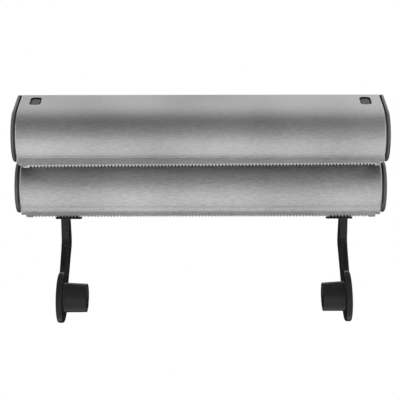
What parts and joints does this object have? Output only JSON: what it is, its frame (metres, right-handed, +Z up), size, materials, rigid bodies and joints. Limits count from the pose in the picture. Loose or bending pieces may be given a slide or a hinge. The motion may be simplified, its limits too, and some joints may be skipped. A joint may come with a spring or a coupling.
{
  "type": "wrap dispenser with towel holder",
  "caption": "Wall-hung dispenser for two wrap rolls: steel drums with toothed tearing edges, lids that turn up, push-buttons, and sliding arms below for a paper towel roll.",
  "frame": {"origin": "middle of the two wall screw holes, on the wall face of the wall plate", "axes": "+X to the viewer's right along the drums, +Y into the wall, +Z up"},
  "size_m": [0.3848, 0.104, 0.234],
  "materials": {
    "steel_cover": "brushed along the length",
    "cap_black": "fine matte grain",
    "arm_black": "satin moulded",
    "button_grey": "fine matte grain",
    "frame_black": "matte moulded",
    "frame_steel": "zinc grey",
    "tray_grey": "matte moulded",
    "hardware": "plain zinc",
    "spring_steel": "plain spring steel"
  },
  "bodies": {
    "base": {"wall_plate": "frame_steel", "left_cheek": "frame_black", "right_cheek": "frame_black", "hinge_pins": "hardware", "upper_tray": "tray_grey", "left_bracket": "frame_black", "right_bracket": "frame_black", "axle_pins": "hardware", "lower_tray": "tray_grey", "towel_rail": "frame_steel", "left_catch": "spring_steel", "right_catch": "spring_steel", "cheek_screws": "hardware", "bracket_screws": "hardware", "rail_screws": "hardware", "tray_screws": "hardware", "tray_rivets": "hardware"},
    "upper_lid": {"upper_cover": "steel_cover", "upper_left_cap": "cap_black", "upper_right_cap": "cap_black", "left_spring": "spring_steel", "right_spring": "spring_steel"},
    "lower_lid": {"lower_cover": "steel_cover", "lower_left_cap": "cap_black", "lower_right_cap": "cap_black"},
    "left_button": {"left_button": "button_grey", "left_clip": "hardware"},
    "right_button": {"right_button": "button_grey", "right_clip": "hardware"},
    "left_arm": {"left_arm": "arm_black"},
    "right_arm": {"right_arm": "arm_black"}
  },
  "joints": [
    {"name": "upper_lid_hinge", "type": "hinge", "parent": "base", "child": "upper_lid", "pos_m": [0, -0.013, 0.013], "axis": [-1, 0, 0], "range_deg": [0, 90]},
    {"name": "lower_lid_turn", "type": "hinge", "parent": "base", "child": "lower_lid", "pos_m": [0, -0.032, -0.072], "axis": [-1, 0, 0], "range_deg": [0, 90]},
    {"name": "left_button_press", "type": "slide", "parent": "upper_lid", "child": "left_button", "axis": [0, 0, -1], "range_m": [0, 0.0025], "stiffness_N_per_m": 800, "deforming": ["left_spring"]},
    {"name": "right_button_press", "type": "slide", "parent": "upper_lid", "child": "right_button", "axis": [0, 0, -1], "range_m": [0, 0.0025], "stiffness_N_per_m": 800, "deforming": ["right_spring"]},
    {"name": "left_arm_slide", "type": "slide", "parent": "base", "child": "left_arm", "axis": [-1, 0, 0], "range_m": [-0.03, 0.02]},
    {"name": "right_arm_slide", "type": "slide", "parent": "base", "child": "right_arm", "axis": [1, 0, 0], "range_m": [-0.03, 0.02]}
  ]
}
